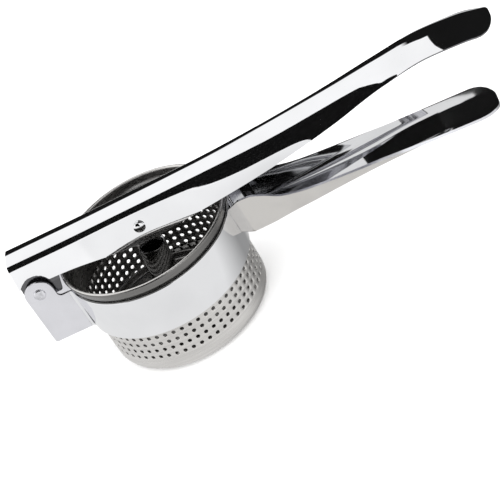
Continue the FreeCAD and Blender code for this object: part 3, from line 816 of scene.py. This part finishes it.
UPPER_STATIONS = [
    # part of the length, half of the web, rise of the web, half over the edges, rise of the edges, bend
    (0.00, 8.0, 0.0, 12.1, -13.6, 4.0),
    (0.10, 8.0, 0.0, 12.4, -14.4, 4.0),
    (0.25, 8.0, 0.5, 12.6, -18.2, 4.0),
    (0.385, 8.0, 1.4, 12.6, -15.2, 5.5),
    (0.53, 8.1, 4.0, 12.6, -10.4, 8.0),
    (0.665, 8.2, 7.2, 12.6, -3.2, 8.5),
    (0.775, 8.1, 10.4, 12.7, 4.6, 9.0),
    (0.87, 7.1, 12.6, 13.0, 8.8, 12.0),
    (0.94, 6.5, 11.4, 13.0, 8.0, 12.0),
    (1.00, 6.0, 8.2, 12.6, 4.8, 12.0),
]
LOWER_STATIONS = [
    # part of the length, half of the web, rise of the web, half over the edges, rise of the edges, bend
    (0.00, 12.6, 0.0, 13.4, 22.0, 2.2),
    (0.04, 12.6, 0.0, 13.4, 21.8, 2.2),
    (0.09, 12.5, 0.1, 13.4, 19.1, 2.4),
    (0.155, 12.3, 0.3, 13.5, 14.1, 3.6),
    (0.245, 12.1, 0.4, 13.6, 11.4, 5.0),
    (0.37, 11.4, 1.0, 13.8, 9.7, 6.5),
    (0.52, 10.7, 2.0, 13.9, 8.3, 7.5),
    (0.68, 9.6, 3.2, 13.9, 6.4, 6.5),
    (0.82, 8.3, 3.5, 13.9, 5.2, 8.0),
    (0.92, 7.4, 3.1, 13.9, 4.6, 9.0),
    (1.00, 6.7, 2.5, 13.7, 4.2, 9.0),
]
SECTION_POINTS = 56


def station_tracks(stations, back, tip):
    """Smooth lines through each column of a table of stations."""
    places = [back + station[0] * (tip - back) for station in stations]
    return [Track(list(zip(places, column))) for column in list(zip(*stations))[1:]]


def tip_limit(x, tip, half, corner):
    """Half the width that the plan outline leaves at a place along the handle."""
    into = x - (tip - corner)
    if into <= 0:
        return half + 1
    return half - corner + math.sqrt(max(corner ** 2 - into ** 2, 0))


def tip_places(tip, corner):
    """Places over the rounded end of a handle, closer together towards its tip."""
    return [tip - corner + corner * math.sin(math.radians(a)) for a in range(0, 90, 3)] + [tip - 0.01]


class PRESS_OT_upper_handle(bpy.types.Operator):
    """Makes the upper handle, an inverted channel with cheeks on the hinge's rivet"""
    bl_idname = "press.upper_handle"
    bl_label = "Upper handle"

    def execute(self, context):
        settings = context.scene.press_handles
        back = UPPER_LOW.x
        tip = UPPER_HIGH.x
        level = 78.0
        crown = 1.1
        half = UPPER_HIGH.y
        corner = 11.0
        tracks = station_tracks(UPPER_STATIONS, back, tip)
        hinge_end = -45.0
        places = spaced_places(back, hinge_end, 0.4) + spaced_places(hinge_end, tip - corner, 1.3)
        places += tip_places(tip, corner)
        rows = []
        for x in places:
            web_half, web_rise, edge_half, edge_rise, bend = [track.at(x) for track in tracks]
            bulge = 0.9 * math.exp(-((x - 75.0) / 30.0) ** 2)
            web_level = level - 0.7 * crown + web_rise
            points = half_section(web_half, web_level, edge_half, level + edge_rise, bend, crown, bulge)
            gap = abs(x - HINGE.x)
            cut = HINGE.z + math.sqrt(ARCH ** 2 - gap ** 2) if gap < ARCH else 0.0
            points = trimmed(points, tip_limit(x, tip, half, corner), cut, downward=True)
            rows.append((x, resample(points, SECTION_POINTS)))
        # The upper shell's rim takes the edge finish, darkened as painted shade; the lower handle's rim stays
        # plain satin.
        shell = sheet_shell("upper_shell", rows, settings.upper_sheet, True, "mirror", "satin", "edge")

        outside = 11.6
        sheet = settings.upper_sheet
        hub = 8.4
        foot = RING_TOP + 0.9
        top = HINGE.z + ARCH + 1.2
        front = BASKET_LOW.x + 1.4
        outline = arc(HINGE.x, HINGE.z, hub, range(180, 330, 8))
        outline += round_corners([(HINGE.x + hub, foot, 0.8), (front - 2.6, foot, 1.6),
                                  (front, HINGE.z + 4.4, 1.5), (front, top, 0)], closed=False)
        outline += [(back + 0.6, top), (back + 0.6, HINGE.z)]
        web_half, web_rise, edge_half, edge_rise, bend = UPPER_STATIONS[0][1:]
        lean = (edge_half - web_half) / (web_rise - edge_rise)
        room = sheet + 0.25
        fold = level + web_rise - (outside + room - web_half) / lean
        cheeks = []
        for side, label in ((-1, "near_cheek"), (1, "far_cheek")):
            ends = sorted((side * outside, side * (outside - sheet)))
            cheek = cut_plate(label, outline, [(HINGE.x, HINGE.z, SHANK + PLAY)], ends[0], ends[1], "cheek",
                              edge=0.2)
            cheeks.append(fold_inward(cheek, fold, lean))
        handle = join([shell] + cheeks, "top_channel")
        place_piece(handle, "press", "upper_handle")
        return {"FINISHED"}


class PRESS_OT_lower_handle(bpy.types.Operator):
    """Makes the lower handle, a channel that opens upwards from a neck on the ring"""
    bl_idname = "press.lower_handle"
    bl_label = "Lower handle"

    def execute(self, context):
        settings = context.scene.press_handles
        mouth = 51.4
        tip = LOWER_HIGH.x
        level = LOWER_LOW.z
        half = LOWER_HIGH.y
        corner = 11.5
        ring = RING_HIGH.x
        neck_half = 9.2
        tracks = station_tracks(LOWER_STATIONS, mouth, tip)
        web_half, web_rise, edge_half, edge_rise, bend = LOWER_STATIONS[0][1:]
        rows = []
        neck_rows = 6
        for step in range(neck_rows):
            part = step / neck_rows
            narrow = (1 - part) * (edge_half - neck_half)
            high = RING_TOP + part * (level + edge_rise - RING_TOP)
            points = half_section(web_half - narrow, level, edge_half - narrow, high, bend)

            def on_neck(y, part=part):
                start = math.sqrt(ring ** 2 - min(y * y, ring ** 2)) + 0.05
                return start + part * (mouth - start)

            rows.append((on_neck, resample(points, SECTION_POINTS)))
        for x in spaced_places(mouth, tip - corner, 1.3) + tip_places(tip, corner):
            web_half, web_rise, edge_half, edge_rise, bend = [track.at(x) for track in tracks]
            points = half_section(web_half, level + web_rise, edge_half, level + edge_rise, bend)
            points = trimmed(points, tip_limit(x, tip, half, corner), 1e3, downward=False)
            rows.append((x, resample(points, SECTION_POINTS)))
        # The trough's inside takes the polish darkened as painted shade.
        shell = sheet_shell("bottom_channel", rows, settings.lower_sheet, False, "warm", "trough", "satin")
        place_piece(shell, "frame", "lower_handle")
        return {"FINISHED"}


# ---------------------------------------------------------------- rivet, pin and what is on them

def lay_across(piece, centre):
    """Turns a piece made about Z to lie along Y through a centre in millimetres."""
    piece.data.transform(Matrix.Translation(centre * MM) @ Matrix.Rotation(math.radians(90), 4, "X"))
    return piece


def headed_piece(name, half_head, finish, centre):
    """A rivet across the press, alike at both ends, from the (radius, height) points of one head."""
    profile = half_head + [(radius, -height) for radius, height in reversed(half_head)]
    return lay_across(lathe(name, profile, finish, 48, closed=False), centre)


def tube_piece(name, node, body):
    """A ring or a tube round a shank, as large as its node and with softened rims."""
    low, high = node_box(node)
    outer = (high.x - low.x) / 2
    half = (high.y - low.y) / 2
    rim = min(0.2, 0.4 * half)
    profile = round_corners([(SHANK, -half, rim), (outer, -half, rim), (outer, half, rim),
                             (SHANK, half, rim)], steps=3)
    piece = lay_across(lathe(name, profile, "rivet", 48), (low + high) / 2)
    place_piece(piece, body, node)


class PRESS_OT_hinge(bpy.types.Operator):
    """Makes the hinge's rivet with its formed heads, the two washers and the tube between the cheeks"""
    bl_idname = "press.hinge"
    bl_label = "Hinge rivet and washers"

    def execute(self, context):
        reach = RIVET_REACH
        plane = reach - RIVET_CROWN
        half_head = [(0.0, reach - 0.28), (0.9, reach - 0.22), (1.7, reach - 0.05), (2.2, reach),
                     (2.75, reach - 0.2), (3.1, reach - 0.5), (3.2, plane + 0.02), (SHANK, plane + 0.01)]
        rivet = headed_piece("pivot_rivet", half_head, "rivet", HINGE)
        place_piece(rivet, "frame", "hinge_rivet")
        tube_piece("near_washer", "near_hinge_washer", "frame")
        tube_piece("far_washer", "far_hinge_washer", "frame")
        tube_piece("cheek_tube", "hinge_spacer", "frame")
        return {"FINISHED"}


class PRESS_OT_pin(bpy.types.Operator):
    """Makes the plunger's pin with its domed heads and the tubes beside the tongue"""
    bl_idname = "press.pin"
    bl_label = "Plunger pin and spacers"

    def execute(self, context):
        low, high = node_box("plunger_pin")
        reach = high.y
        head = (high.x - low.x) / 2
        dome = 2.0
        base = reach - dome
        steps = 10
        half_head = []
        for step in range(steps + 1):
            angle = math.radians(90 * step / steps)
            half_head.append((head * math.sin(angle), base + 0.3 + (dome - 0.3) * math.cos(angle)))
        half_head += [(head - 0.05, base + 0.1), (SHANK, base)]
        pin = headed_piece("plunger_rivet", half_head, "mirror", PIN)
        place_piece(pin, "press", "plunger_pin")
        tube_piece("near_pin_tube", "near_pin_spacer", "press")
        tube_piece("far_pin_tube", "far_pin_spacer", "press")
        return {"FINISHED"}


# ---------------------------------------------------------------- plunger

LEAN = 7.0


def in_plunger(piece):
    """Moves a piece made about the pin to where the leaning plunger is."""
    place = Matrix.Translation(PIN * MM) @ Matrix.Rotation(math.radians(LEAN), 4, "Y")
    piece.data.transform(place)
    return piece


class PRESS_OT_plunger(bpy.types.Operator):
    """Makes the plunger: its tongue, open post, weld bead and dished disc"""
    bl_idname = "press.plunger"
    bl_label = "Plunger"

    def execute(self, context):
        drop = 60.0
        sheet = 1.2
        top = -19.4
        outer = 7.2
        wall = 1.0
        disc = 36.0
        rim = 5.0
        foot = -drop + sheet
        section = round_corners([(outer, foot, 0.1), (outer, top, 0.35), (outer - wall, top, 0.35),
                                 (outer - wall, foot, 0.1)], steps=3)
        # The post's outside carries the polish darkened as painted shade; its inner faces keep the plain
        # satin.
        post = lathe("post_tube", section, "painted_shade_polish", 72)
        post.data.materials.append(finish_of("satin"))
        for face in post.data.polygons:
            if face.normal.dot(face.center * Vector((1, 1, 0))) < 0:
                face.material_index = 1
        place_piece(in_plunger(post), "plunger", "plunger_post")

        bead = 1.5
        section = [(outer, foot), (outer + bead, foot), (outer + 0.8 * bead, foot + 0.35 * bead),
                   (outer + 0.45 * bead, foot + 0.75 * bead), (outer, foot + bead)]
        weld = lathe("foot_bead", section, "rivet", 72)
        place_piece(in_plunger(weld), "plunger", "post_weld")

        profile = round_corners([(0, -drop, 0), (disc, -drop, 2.4), (disc, -drop + rim, 0.4),
                                 (disc - sheet, -drop + rim, 0.4), (disc - sheet, foot, 1.2), (0, foot, 0)],
                                closed=False, steps=6)
        # The disc down in the cup takes the inside finish, darkened as painted shade.
        dish = lathe("dished_disc", profile, "inside", 144, closed=False)
        place_piece(in_plunger(dish), "plunger", "plunger_disc")

        half = 5.8
        outline = arc(0, 0, half, range(0, 181, 9))
        outline += [(-half, top - 10.0), (half, top - 10.0)]
        # The tongue carries the polish darkened as painted shade.
        tongue = cut_plate("eye_bar", outline, [(0, 0, SHANK + PLAY)], -1.5, 1.5, "painted_shade_polish", edge=0.25)
        place_piece(in_plunger(tongue), "plunger", "plunger_tongue")
        return {"FINISHED"}


# ---------------------------------------------------------------- stage

def make_world(scene):
    """A white room, and in what polish mirrors of it a dark far wall and a dark corner past the tips."""
    world = bpy.data.worlds.new("studio")
    scene.world = world
    world.use_nodes = True
    tree = world.node_tree
    tree.nodes.clear()
    shade = Shade(tree)
    source = shade.node("ShaderNodeTexCoord")
    split = shade.node("ShaderNodeSeparateXYZ", inputs={0: source.outputs["Generated"]})
    side, far, up = [Value(shade, split.outputs[axis]) for axis in range(3)]
    # The angle over the far horizon: 0 at the far wall, 90 overhead, 180 at the near wall, less below.
    angle = shade.math("ARCTAN2", up, far) * (180 / math.pi)
    wall_top = (shade.spread(side, -0.3, -0.22, 32.5, 30.0) + shade.spread(side, -0.16, -0.04, 0.0, 8.0)
                + shade.spread(side, 0.0, 0.05, 0.0, 80.0))
    far_wall = shade.spread(angle, -22.0, -8.0) * (1 - shade.spread(angle - wall_top, -0.8, 0.8))
    above = 1.06 * (1 - far_wall) + 0.008
    shade_below = shade.spread(side, -0.15, 0.3, 0.0, 0.5) * shade.spread(far, -0.2, 0.5)
    floor_light = shade.spread(up, -0.35, -0.05, 0.80, 0.93) - shade_below
    below = floor_light * (1 - far_wall)
    above_share = shade.spread(up, -0.02, 0.0)
    level = above * above_share + below * (1 - above_share)
    colour = shade.blend(level, (0.0, 0.0, 0.0, 1), (1.0, 1.0, 1.0, 1))
    mirrored = shade.node("ShaderNodeBackground", inputs={"Color": colour})
    room = shade.node("ShaderNodeBackground", inputs={"Color": (1, 1, 1, 1), "Strength": 1.6})
    path = shade.node("ShaderNodeLightPath")
    mixed = shade.node("ShaderNodeMixShader", inputs={
        0: path.outputs["Is Glossy Ray"], 1: room.outputs[0], 2: mirrored.outputs[0]})
    shade.node("ShaderNodeOutputWorld", inputs={"Surface": mixed.outputs[0]})


def dark_flag(name, columns):
    """A curved black flag on the near side that only polish mirrors.

    A column is its X, and the angles over the far horizon of its lower and its upper end.
    """
    away = 320.0
    height = 74.0
    steps = 8
    points = []
    for x, low, high in columns:
        for step in range(steps + 1):
            angle = math.radians(low + (high - low) * step / steps)
            points.append((x, away * math.cos(angle), height + away * math.sin(angle)))
    faces = []
    for column in range(len(columns) - 1):
        for step in range(steps):
            a = column * (steps + 1) + step
            faces.append((a, a + steps + 1, a + steps + 2, a + 1))
    hide_but_mirrored(mesh_object(name, points, faces))


def dark_card(name, left, right, low, high):
    """An upright black card just behind the handles that only polish mirrors."""
    away = 60.0
    hide_but_mirrored(mesh_object(name, [(left, away, low), (right, away, low), (right, away, high),
                                         (left, away, high)], [(0, 1, 2, 3)]))


def paint(piece, name, colour, roughness, specular):
    """Gives a piece of the stage one plain colour."""
    material = bpy.data.materials.new(name)
    material.use_nodes = True
    shader = material.node_tree.nodes["Principled BSDF"]
    shader.inputs["Base Color"].default_value = colour
    shader.inputs["Roughness"].default_value = roughness
    shader.inputs["Specular IOR Level"].default_value = specular
    piece.data.materials.append(material)


def hide_but_mirrored(card):
    """Makes a card black, and seen by reflections alone."""
    paint(card, card.name, (0.004, 0.004, 0.004, 1), 0.5, 0.0)
    card.visible_camera = False
    card.visible_diffuse = False
    card.visible_shadow = False


def area_light(name, place, target, width, height, power):
    light = bpy.data.lights.new(name, "AREA")
    light.shape = "RECTANGLE"
    light.size = width
    light.size_y = height
    light.energy = power
    made = bpy.data.objects.new(name, light)
    bpy.context.scene.collection.objects.link(made)
    made.visible_glossy = False
    made.location = place
    made.rotation_euler = (Vector(target) - Vector(place)).to_track_quat("-Z", "Y").to_euler()
    return made


class PRESS_OT_stage(bpy.types.Operator):
    """Makes the floor, the lights, the studio round them and the camera"""
    bl_idname = "press.stage"
    bl_label = "Stage"

    def execute(self, context):
        scene = context.scene
        settings = scene.press_stage
        floor = mesh_object("floor", [(-4000, -4000, 0), (4000, -4000, 0), (4000, 4000, 0), (-4000, 4000, 0)],
                            [(0, 1, 2, 3)])
        paint(floor, "pale_floor", rgba(settings.floor), 0.9, 0.5)
        floor.visible_glossy = False
        make_world(scene)
        dark_card("mouth_card", 30, 66, 58, 96)
        dark_card("grip_card", 103, 152, 58, 96)
        dark_flag("front_flag", [(-300, 171, 106), (-85, 174, 106), (-15, 183, 108), (30, 186, 114),
                                 (55, 186, 140)])
        area_light("key", (-0.5, -0.7, 1.1), (0.04, 0, 0.04), 1.2, 1.2, 4)
        area_light("fill", (0.9, -0.5, 0.8), (0.04, 0, 0.04), 1.2, 1.2, 3)

        azimuth, elevation, roll = [math.radians(angle) for angle in
                                    (settings.azimuth, settings.elevation, settings.roll)]
        back = Vector((math.sin(azimuth) * math.cos(elevation), -math.cos(azimuth) * math.cos(elevation),
                       math.sin(elevation)))
        level = Vector((math.cos(azimuth), math.sin(azimuth), 0))
        upward = back.cross(level)
        right = level * math.cos(roll) + upward * math.sin(roll)
        top = upward * math.cos(roll) - level * math.sin(roll)
        target = Vector((43.28, 0, 23.21))
        camera = bpy.data.objects.new("camera", bpy.data.cameras.new("camera"))
        camera.data.lens = settings.lens
        camera.data.sensor_width = 36.0
        scene.collection.objects.link(camera)
        turn = Matrix((right, top, back)).transposed().to_4x4()
        camera.matrix_world = Matrix.Translation((target + back * settings.distance) * MM) @ turn
        scene.camera = camera
        scene.view_settings.view_transform = "Standard"
        return {"FINISHED"}


# ---------------------------------------------------------------- panel and start

STEPS = [PRESS_OT_basket, PRESS_OT_ring, PRESS_OT_lower_handle, PRESS_OT_upper_handle, PRESS_OT_hinge,
         PRESS_OT_pin, PRESS_OT_plunger, PRESS_OT_stage]


class PRESS_PT_panel(bpy.types.Panel):
    """Lists the press's pieces and its stage"""
    bl_idname = "PRESS_PT_panel"
    bl_label = "Hand press"
    bl_space_type = "VIEW_3D"
    bl_region_type = "UI"
    bl_category = "Press"

    def draw(self, context):
        for step in STEPS:
            self.layout.operator(step.bl_idname)


GROUPS = {"press_basket": PressBasketSettings, "press_handles": PressHandleSettings,
          "press_stage": PressStageSettings}


def register():
    for made in list(GROUPS.values()) + STEPS + [PRESS_PT_panel]:
        bpy.utils.register_class(made)
    for name, group in GROUPS.items():
        setattr(bpy.types.Scene, name, bpy.props.PointerProperty(type=group))


def unregister():
    for name in GROUPS:
        delattr(bpy.types.Scene, name)
    for made in reversed(list(GROUPS.values()) + STEPS + [PRESS_PT_panel]):
        bpy.utils.unregister_class(made)


def main():
    register()
    for step in STEPS:
        group, name = step.bl_idname.split(".")
        getattr(getattr(bpy.ops, group), name)()


if __name__ == "__main__":
    main()
